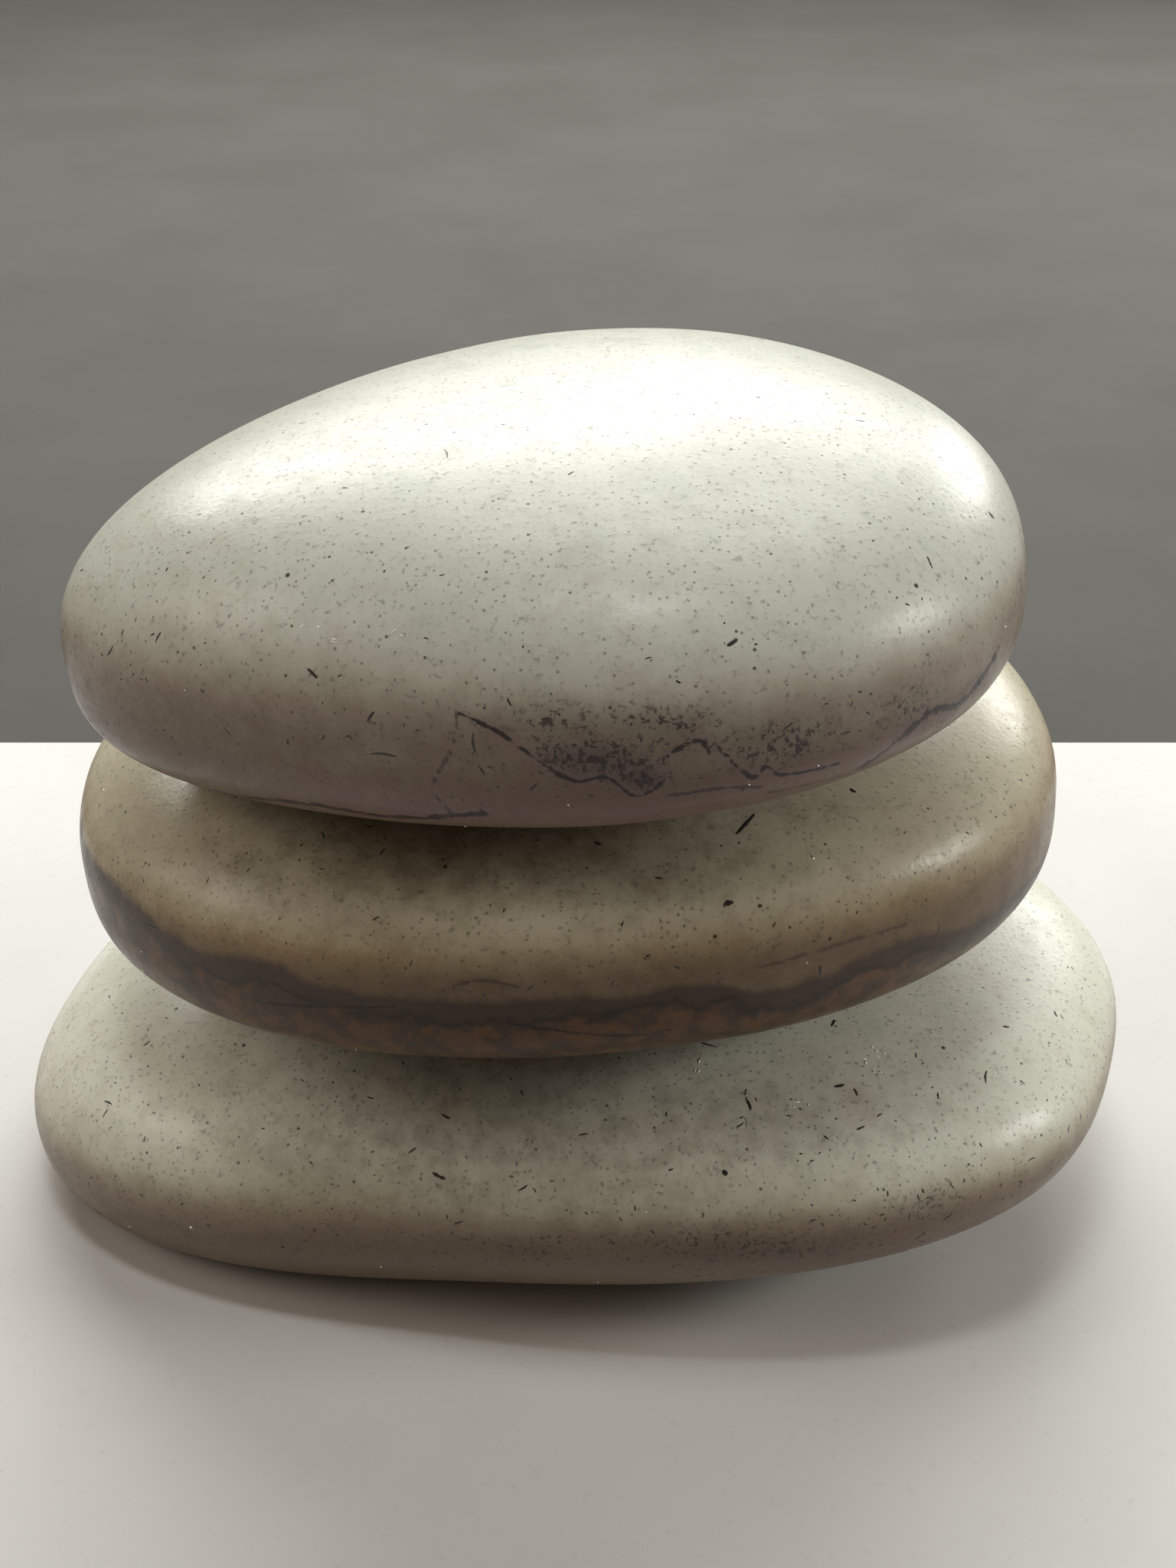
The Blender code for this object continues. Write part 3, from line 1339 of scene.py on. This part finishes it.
# --------------------------------------------------------------------------
# Studio
# --------------------------------------------------------------------------


def in_stack(shares: Place) -> Vector:
    """Finds a place in the stack's box.

    Args:
        shares: Shares of the box along X, Y and Z.

    Returns:
        The place in metres.
    """
    low, high = CAD_BOX
    return Vector(foot + share * (end - foot) for foot, end, share in zip(low, high, shares))


@dataclass(frozen=True)
class SoftBox:
    """A soft area light that looks at the stones.

    bearing is degrees from +Y towards +X, height is degrees over the floor,
    distance and size are metres, power is watts, and target is shares of the
    stack's box.
    """

    name: str
    bearing: float
    height: float
    distance: float
    size: Spot
    power: float
    colour: Colour
    target: Place = (0.5132, 0.4447, 0.6324)

    def build(self) -> None:
        """Hangs the light and turns it to its target."""
        data = bpy.data.lights.new(self.name, "AREA")
        data.shape = "RECTANGLE"
        data.size, data.size_y = self.size
        data.energy = self.power
        data.color = self.colour
        lamp = bpy.data.objects.new(self.name, data)
        bearing, height = math.radians(self.bearing), math.radians(self.height)
        level = math.cos(height)
        way = Vector((math.sin(bearing) * level, math.cos(bearing) * level, math.sin(height)))
        lamp.location = in_stack(self.target) + way * self.distance
        lamp.rotation_euler = way.to_track_quat("Z", "Y").to_euler()
        bpy.context.scene.collection.objects.link(lamp)


@dataclass
class Studio:
    """The pale floor, the grey sheet behind it, the lights and the camera.

    pitch is how many degrees the camera looks down, aim is shares of the
    stack's box, and lens and sensor are millimetres. The other sizes are
    metres: distance from the aim to the camera, nearest for the nearest thing
    that it shows, sheet_gap from the stack's back to the grey sheet's edge,
    and side, front and depth from the origin to the sheets' far ends.
    """

    pitch: float = 29.7
    distance: float = 0.2431
    aim: Place = (0.5161, 0.4447, 0.4940)
    lens: float = 52.0
    sensor: float = 36.0
    nearest: float = 0.01
    sheet_gap: float = 0.0346
    side: float = 1.5
    front: float = 1.5
    depth: float = 2.5
    fill: Colour = (1.0, 0.82, 0.62)
    fill_strength: float = 0.06

    def floor(self) -> None:
        """Lays the pale floor and the grey backdrop sheet behind it."""
        dust = (0.42, 0.38, 0.35)
        pale = SheetFinish("pale_floor", (0.62, 0.60, 0.58), (0.69, 0.68, 0.67), 120.0, 0.7, dust)
        grey = SheetFinish("grey_backdrop", (0.072, 0.067, 0.062), (0.084, 0.079, 0.074), 60.0, 0.9)
        edge = CAD_BOX[1][1] + self.sheet_gap
        front = self._sheet("floor", (-self.front, edge), pale)
        back = self._sheet("backdrop", (edge, self.depth), grey)

    def _sheet(self, name: str, y: Spot, finish: SheetFinish) -> bpy.types.Object:
        """Lays one flat sheet as a grid of three points by three.

        Args:
            name: The sheet's name.
            y: Its two ends along Y in metres.
            finish: Its finish.

        Returns:
            The sheet.
        """
        x = np.linspace(-self.side, self.side, 3)
        across, deep = np.meshgrid(x, np.linspace(*y, 3), indexing="xy")
        points = np.stack([across, deep, np.zeros_like(across)], -1).reshape(-1, 3) / MM
        corner = (3 * np.arange(2)[:, None] + np.arange(2)).ravel()
        quads = np.stack([corner, corner + 1, corner + 4, corner + 3], -1)
        sheet = mesh_piece(name, points, quads, np.zeros((0, 3), dtype=int))
        sheet.data.materials.append(finish.material())
        return sheet

    def lights(self) -> None:
        """Hangs the soft boxes and sets the room's dim fill."""
        boxes = (
            SoftBox("back_window", 14.0, 25.0, 0.75, (0.32, 0.16), 1.5, (1.0, 1.0, 0.96)),
            SoftBox("back_middle_window", -9.0, 28.0, 0.78, (0.28, 0.15), 1.6, (1.0, 1.0, 0.95)),
            SoftBox("back_left_window", -30.0, 27.0, 0.8, (0.24, 0.12), 1.5, (0.98, 1.0, 0.95)),
            SoftBox("back_right_window", 34.0, 14.0, 0.8, (0.22, 0.14), 1.3, (1.0, 1.0, 0.96)),
            SoftBox("high_panel", 8.0, 58.0, 0.9, (0.70, 0.50), 4.1, (0.96, 1.0, 0.97)),
            SoftBox("overhead", -164.0, 79.0, 0.8, (0.20, 0.08), 1.35, (0.96, 1.0, 1.0)),
            SoftBox("right_window", 98.0, 22.0, 0.8, (0.22, 0.16), 2.35, (1.0, 0.99, 0.93)),
            SoftBox("left_window", -98.0, 32.0, 0.9, (0.5, 0.4), 1.95, (1.0, 0.90, 0.77)),
            SoftBox("front_panel", 180.0, 52.0, 1.2, (1.0, 0.7), 0.75, (1.0, 0.84, 0.66)),
        )
        for box in boxes:
            box.build()
        world = bpy.data.worlds.new("room")
        world.use_nodes = True
        fill = world.node_tree.nodes["Background"]
        fill.inputs["Color"].default_value = (*self.fill, 1.0)
        fill.inputs["Strength"].default_value = self.fill_strength
        bpy.context.scene.world = world
        bpy.context.scene.view_settings.view_transform = "Standard"

    def camera(self) -> None:
        """Places the camera in front of the stones, looking down at them."""
        data = bpy.data.cameras.new("camera")
        data.sensor_fit = "VERTICAL"
        data.sensor_height = self.sensor
        data.lens = self.lens
        data.clip_start = self.nearest
        pitch = math.radians(self.pitch)
        forward = Vector((0.0, math.cos(pitch), -math.sin(pitch)))
        camera = bpy.data.objects.new("camera", data)
        camera.location = in_stack(self.aim) - forward * self.distance
        camera.rotation_euler = (math.pi / 2.0 - pitch, 0.0, 0.0)
        bpy.context.scene.collection.objects.link(camera)
        bpy.context.scene.camera = camera


# --------------------------------------------------------------------------
# The three stones of the stack
# --------------------------------------------------------------------------

# The worn seats between the middle and top stones rise towards +X by this angle.
SEAT_SLOPE = math.radians(4.5)
SEAT_UP = (-math.sin(SEAT_SLOPE), 0.0, math.cos(SEAT_SLOPE))
SEAT_DOWN = (math.sin(SEAT_SLOPE), 0.0, -math.cos(SEAT_SLOPE))


@dataclass
class BottomStone(Stone):
    """The broad bottom stone, worn flat underneath, with peppered low flanks."""

    body: Body = Body.BOTTOM
    form: PebbleForm = PebbleForm(
        length=121.6,
        width=91.6,
        thickness=38.4,
        crown=-1.65,
        plan_power=2.68,
        section_power=2.20,
        width_taper=-0.166,
        thickness_taper=-0.17,
        sag=-2.1,
        bow=-1.85,
        yaw=-18.3,
        tilt=6.9,
        roll=-0.45,
    )
    # Its warm and flank colours are painted shade.
    finish: HonedStone = HonedStone(
        "bottom_honed_stone",
        pale=(0.73, 0.735, 0.635),
        warm_shade_tone=(0.34, 0.28, 0.19),
        painted_flank_shade=(0.165, 0.118, 0.078),
        belt=(0.155, 0.105, 0.072),
        rust=(0.135, 0.085, 0.062),
        belt_strength=0.35,
        seam_strength=0.12,
    )
    flats: tuple[WornFlat, ...] = (WornFlat((0.0, 0.0, -1.0), 8.6, 0.8),)
    ripple: Ripple = Ripple(0.05, 3)
    # Span of the painted warm shade on this stone.
    warm_shade_from: Spot = (0.86, -0.05)
    belt: Belt | None = Belt(
        ((-180, 0.27), (-143, 0.27), (-120, 0.46), (-83, 0.55), (-45, 0.61), (60, 0.45), (130, 0.36))
    )
    lines: tuple[WaterLine, ...] = (WaterLine(((0.29, 0.42), (0.27, 0.30), (0.25, 0.24)), 0.6),)
    soot: tuple[Bloom, ...] = (
        Bloom(0.64, 0.52, (16.0, 8.0, 3.0), 0.42),
        Bloom(0.79, 0.62, (6.0, 8.0, 3.0), 0.36),
        Bloom(0.45, 0.46, (7.0, 8.0, 2.0), 0.36),
    )
    mauve: tuple[Bloom, ...] = (Bloom(0.70, 0.47, (18.0, 8.0, 3.0), 0.45),)
    # Painted shade under the middle stone's overhang.
    shade: tuple[Bloom, ...] = (
        Bloom(0.42, 0.78, (30.0, 15.0, 8.0), 0.54),
        Bloom(0.64, 0.84, (18.0, 12.0, 5.0), 0.36),
    )
    splinters: tuple[Fleck, ...] = (
        Fleck(0.13, 0.68, 35, 1.0, 0.35),
        Fleck(0.40, 0.77, -30, 1.3, 0.40),
        Fleck(0.395, 0.65, -25, 1.7, 0.50),
        Fleck(0.625, 0.74, -45, 0.7, 0.70),
        Fleck(0.645, 0.86, -70, 1.6, 0.40),
        Fleck(0.72, 0.88, 15, 1.3, 0.50),
        Fleck(0.733, 0.87, -70, 1.0, 0.35),
        Fleck(0.735, 0.82, 25, 1.1, 0.30),
        Fleck(0.72, 0.94, 65, 1.2, 0.50),
        Fleck(0.845, 0.84, 80, 1.8, 0.35),
        Fleck(0.87, 0.865, 10, 0.9, 0.45),
        Fleck(0.92, 0.82, -80, 1.0, 0.30),
    )
    swarms: tuple[Swarm, ...] = (
        Swarm(0.66, 0.50, (15.0, 2.6), 64),
        Swarm(0.80, 0.62, (5.0, 2.2), 26),
        Swarm(0.45, 0.46, (7.0, 2.0), 26),
        Swarm(0.72, 0.84, (12.0, 2.2), 26),
        Swarm(0.11, 0.58, (4.0, 4.5), 22),
    )
    mica: tuple[Swarm, ...] = (
        Swarm(0.605, 0.90, (0.35, 0.45), 6),
        Swarm(0.68, 0.86, (1.0, 0.35), 8),
        Swarm(0.752, 0.90, (0.9, 0.35), 9),
    )
    strays: int = 340
    seed: int = 11


@dataclass
class MiddleStone(Stone):
    """The rounder middle stone, yellower, with its dark lower belt."""

    body: Body = Body.MIDDLE
    form: PebbleForm = PebbleForm(
        length=103.1,
        width=85.6,
        thickness=28.7,
        crown=0.0,
        plan_power=2.14,
        section_power=3.01,
        width_taper=0.04,
        thickness_taper=0.007,
        sag=-1.1,
        bow=-0.87,
        yaw=5.6,
        tilt=3.13,
        roll=-0.6,
    )
    # Its warm and flank colours are painted shade.
    finish: HonedStone = HonedStone(
        "middle_honed_stone",
        pale=(0.575, 0.53, 0.405),
        warm_shade_tone=(0.275, 0.19, 0.098),
        painted_flank_shade=(0.080, 0.046, 0.025),
        belt=(0.040, 0.022, 0.013),
        rust=(0.098, 0.043, 0.015),
        line=(0.014, 0.007, 0.005),
        mauve=(0.060, 0.032, 0.026),
        belt_strength=0.94,
        gloss=0.30,
        rough=0.30,
    )
    rests: bool = True
    flats: tuple[WornFlat, ...] = (WornFlat(SEAT_UP, 0.26, 0.1),)
    ripple: Ripple = Ripple(0.05, 5)
    # Span of the painted warm shade on this stone.
    warm_shade_from: Spot = (0.86, 0.05)
    belt: Belt | None = Belt(
        ((-180, 0.53), (-149, 0.55), (-136, 0.50), (-126, 0.54), (-118, 0.495), (-85, 0.525))
        + ((-74, 0.555), (-64, 0.495), (-46, 0.565), (-36, 0.50), (60, 0.45))
    )
    lines: tuple[WaterLine, ...] = (
        WaterLine(((0.67, 0.58), (0.75, 0.61), (0.81, 0.61)), 0.45),
        WaterLine(((0.23, 0.38), (0.28, 0.415), (0.35, 0.46)), 0.9),
        WaterLine(((0.45, 0.43), (0.55, 0.365), (0.60, 0.38)), 0.9),
        WaterLine(((0.39, 0.53), (0.425, 0.58), (0.465, 0.56)), 0.5),
    )
    mauve: tuple[Bloom, ...] = (Bloom(0.09, 0.45, (6.0, 10.0, 5.0), 0.4),)
    # Painted shade on the crown, under the top stone's overhang.
    shade: tuple[Bloom, ...] = (
        Bloom(0.36, 0.84, (22.0, 14.0, 4.6), 0.58),
        Bloom(0.53, 0.875, (22.0, 14.0, 4.6), 0.58),
        Bloom(0.22, 0.76, (9.0, 9.0, 4.0), 0.40),
        Bloom(0.70, 0.92, (12.0, 9.0, 3.0), 0.36),
    )
    splinters: tuple[Fleck, ...] = (
        Fleck(0.663, 0.91, 55, 3.7, 0.60),
        Fleck(0.645, 0.78, 15, 1.1, 0.70),
        Fleck(0.673, 0.765, 10, 0.5, 0.45),
        Fleck(0.765, 0.925, -30, 0.8, 0.60),
        Fleck(0.73, 0.53, -85, 1.3, 0.45),
        Fleck(0.60, 0.61, -25, 0.8, 0.35),
        Fleck(0.53, 0.89, -25, 0.8, 0.55),
        Fleck(0.115, 0.50, 5, 2.3, 0.35),
    )
    swarms: tuple[Swarm, ...] = (
        Swarm(0.45, 0.62, (26.0, 3.0), 22),
        Swarm(0.40, 0.85, (20.0, 1.6), 22),
    )
    strays: int = 150
    sparks: int = 20
    seed: int = 23


@dataclass
class TopStone(Stone):
    """The egg-shaped top stone, with drying lines and soot at its front."""

    body: Body = Body.TOP
    form: PebbleForm = PebbleForm(
        length=92.7,
        width=77.8,
        thickness=31.5,
        crown=2.4,
        plan_power=1.90,
        section_power=2.74,
        width_taper=0.27,
        thickness_taper=-0.027,
        sag=-1.3,
        bow=-1.65,
        yaw=5.5,
        tilt=6.1,
        roll=-1.1,
    )
    # Its warm and flank colours are painted shade.
    finish: HonedStone = HonedStone(
        "top_honed_stone",
        pale=(0.58, 0.59, 0.52),
        warm_shade_tone=(0.38, 0.325, 0.25),
        painted_flank_shade=(0.122, 0.080, 0.055),
        gloss=0.36,
    )
    flats: tuple[WornFlat, ...] = (WornFlat(SEAT_DOWN, 0.26, 0.1),)
    ripple: Ripple = Ripple(0.05, 7)
    lines: tuple[WaterLine, ...] = (
        WaterLine(
            ((0.43, 0.565), (0.47, 0.525), (0.53, 0.42), (0.565, 0.43), (0.59, 0.375))
            + ((0.615, 0.42), (0.615, 0.48), (0.645, 0.53), (0.657, 0.49)),
            1.0,
        ),
        WaterLine(((0.66, 0.52), (0.695, 0.415), (0.707, 0.445), (0.725, 0.41), (0.775, 0.41)), 1.0),
        WaterLine(((0.80, 0.36), (0.86, 0.475), (0.90, 0.46), (0.94, 0.53)), 1.0, 2.2),
        WaterLine(((0.43, 0.565), (0.425, 0.47), (0.405, 0.35), (0.418, 0.28), (0.412, 0.24)), 0.6),
        WaterLine(((0.05, 0.13), (0.18, 0.12), (0.27, 0.19), (0.37, 0.21), (0.45, 0.285)), 1.0, 2.4),
        WaterLine(((0.62, 0.375), (0.67, 0.39), (0.705, 0.378)), 0.7),
        WaterLine(((0.71, 0.35), (0.78, 0.355)), 0.6),
    )
    soot: tuple[Bloom, ...] = (
        Bloom(0.555, 0.475, (5.0, 5.0, 1.9), 1.0),
        Bloom(0.595, 0.435, (2.8, 5.0, 1.5), 0.9),
        Bloom(0.61, 0.57, (7.5, 6.0, 2.6), 0.46),
        Bloom(0.52, 0.56, (6.0, 6.0, 2.6), 0.44),
        Bloom(0.72, 0.50, (7.5, 6.0, 2.6), 0.55),
        Bloom(0.84, 0.515, (6.5, 6.0, 2.6), 0.42),
    )
    mauve: tuple[Bloom, ...] = (
        Bloom(0.59, 0.30, (16.0, 9.0, 2.4), 0.70),
        Bloom(0.36, 0.27, (8.0, 8.0, 2.0), 0.75),
        Bloom(0.78, 0.385, (10.0, 8.0, 2.0), 0.50),
        Bloom(0.52, 0.50, (9.0, 8.0, 3.0), 0.25),
    )
    splinters: tuple[Fleck, ...] = (
        Fleck(0.137, 0.56, 55, 1.3, 0.30),
        Fleck(0.08, 0.475, 45, 1.6, 0.30),
        Fleck(0.295, 0.59, -40, 1.4, 0.50),
        Fleck(0.35, 0.515, 55, 1.4, 0.35),
        Fleck(0.36, 0.415, 5, 2.8, 0.30),
        Fleck(0.675, 0.745, 35, 1.2, 0.50),
        Fleck(0.94, 0.79, -35, 1.0, 0.60),
        Fleck(0.41, 0.945, -80, 2.1, 0.25),
    )
    swarms: tuple[Swarm, ...] = (
        Swarm(0.56, 0.49, (6.5, 2.4), 38),
        Swarm(0.74, 0.50, (6.5, 2.2), 30),
        Swarm(0.22, 0.45, (11.0, 4.0), 22),
    )
    mica: tuple[Swarm, ...] = (Swarm(0.30, 0.675, (0.8, 0.3), 5), Swarm(0.375, 0.715, (0.6, 0.3), 4))
    strays: int = 220
    sparks: int = 12
    seed: int = 37


def main() -> None:
    """Builds the stones and the studio, and reports each piece."""
    logging.basicConfig(level=logging.INFO, format="%(name)s: %(message)s")
    dark = MineralFinish("dark_splinter", (0.012, 0.010, 0.010), (0.035, 0.025, 0.022), 0.35)
    mica = MineralFinish("mica_glint", (0.93, 0.94, 0.90), (0.86, 0.87, 0.82), 0.12, 1.0)
    splinters = Mineral("splinters", 0.42, 0.045, dark)
    glints = Mineral("glints", 0.34, 0.11, mica)
    for stone in (BottomStone(), MiddleStone(), TopStone()):
        pieces = (stone.build_skin(), stone.build_splinters(splinters), stone.build_glints(glints))
        for piece in pieces:
            LOG.info("%s: %d points", piece.name, len(piece.data.vertices))
    studio = Studio()
    studio.floor()
    studio.lights()
    studio.camera()


if __name__ == "__main__":
    main()
